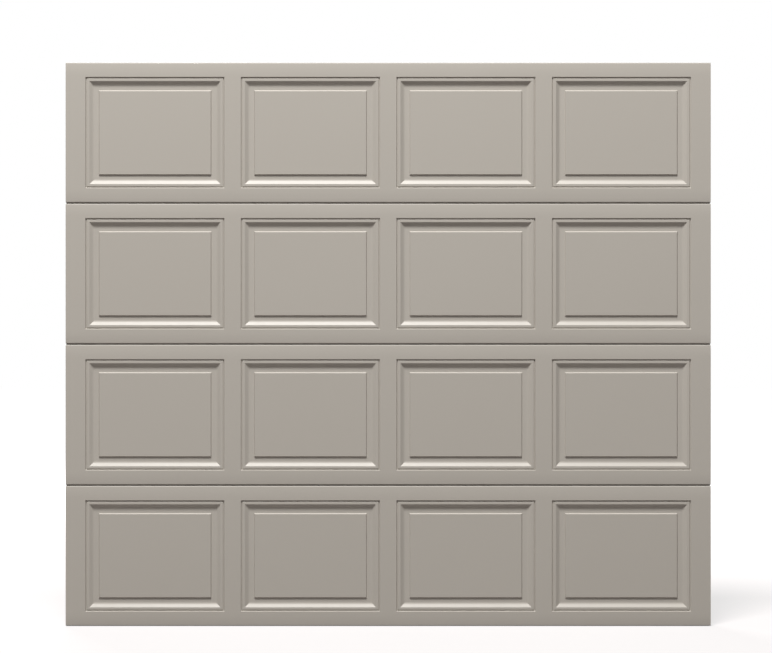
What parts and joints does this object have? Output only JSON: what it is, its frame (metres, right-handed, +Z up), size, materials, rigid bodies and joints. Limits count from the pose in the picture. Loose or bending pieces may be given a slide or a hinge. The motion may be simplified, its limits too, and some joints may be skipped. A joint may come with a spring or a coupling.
{
  "type": "sectional steel garage door leaf",
  "caption": "Overhead garage door leaf of hinged embossed steel sections with raised panels, rails, stiles, hinges, roller tubes, strut and bottom seal.",
  "frame": {"origin": "middle of the bottom seal's flat underside, halfway through the leaf's depth", "axes": "+X to the right seen from outside, +Y into the garage, +Z up"},
  "size_m": [2.4384, 0.1094, 2.1311],
  "materials": {
    "door_paint": "satin",
    "galvanised": "matte",
    "plated_steel": "satin",
    "mill_aluminium": "satin",
    "black_vinyl": "matte"
  },
  "bodies": {
    "bottom_section": {"bottom_section_skin": "door_paint", "bottom_section_upper_rail": "door_paint", "bottom_section_lower_rail": "door_paint", "bottom_section_end_stiles": "galvanised", "bottom_section_centre_stile": "galvanised", "hinge_line_1_end_lower_leaves": "galvanised", "hinge_line_1_centre_lower_leaf": "galvanised", "hinge_line_1_pins": "plated_steel", "bottom_roller_brackets": "galvanised", "lift_handle": "plated_steel", "bottom_seal_holder": "mill_aluminium", "bottom_seal": "black_vinyl"},
    "lower_middle_section": {"lower_middle_section_skin": "door_paint", "lower_middle_section_upper_rail": "door_paint", "lower_middle_section_lower_rail": "door_paint", "lower_middle_section_end_stiles": "galvanised", "lower_middle_section_centre_stile": "galvanised", "hinge_line_1_upper_leaves": "galvanised", "hinge_line_2_end_lower_leaves": "galvanised", "hinge_line_2_centre_lower_leaf": "galvanised", "hinge_line_2_pins": "plated_steel"},
    "upper_middle_section": {"upper_middle_section_skin": "door_paint", "upper_middle_section_upper_rail": "door_paint", "upper_middle_section_lower_rail": "door_paint", "upper_middle_section_end_stiles": "galvanised", "upper_middle_section_centre_stile": "galvanised", "hinge_line_2_upper_leaves": "galvanised", "hinge_line_3_end_lower_leaves": "galvanised", "hinge_line_3_centre_lower_leaf": "galvanised", "hinge_line_3_pins": "plated_steel"},
    "top_section": {"top_section_skin": "door_paint", "top_section_upper_rail": "door_paint", "top_section_lower_rail": "door_paint", "top_section_end_stiles": "galvanised", "top_section_centre_stile": "galvanised", "hinge_line_3_upper_leaves": "galvanised", "top_roller_brackets": "galvanised", "top_strut": "galvanised"}
  },
  "joints": [
    {"name": "lower_fold", "type": "hinge", "parent": "bottom_section", "child": "lower_middle_section", "pos_m": [0, 0.0416, 0.5334], "axis": [-1, 0, 0], "range_deg": [0, 60]},
    {"name": "middle_fold", "type": "hinge", "parent": "lower_middle_section", "child": "upper_middle_section", "pos_m": [0, 0.0416, 1.0668], "axis": [-1, 0, 0], "range_deg": [0, 60]},
    {"name": "upper_fold", "type": "hinge", "parent": "upper_middle_section", "child": "top_section", "pos_m": [0, 0.0416, 1.6002], "axis": [-1, 0, 0], "range_deg": [0, 60]}
  ]
}
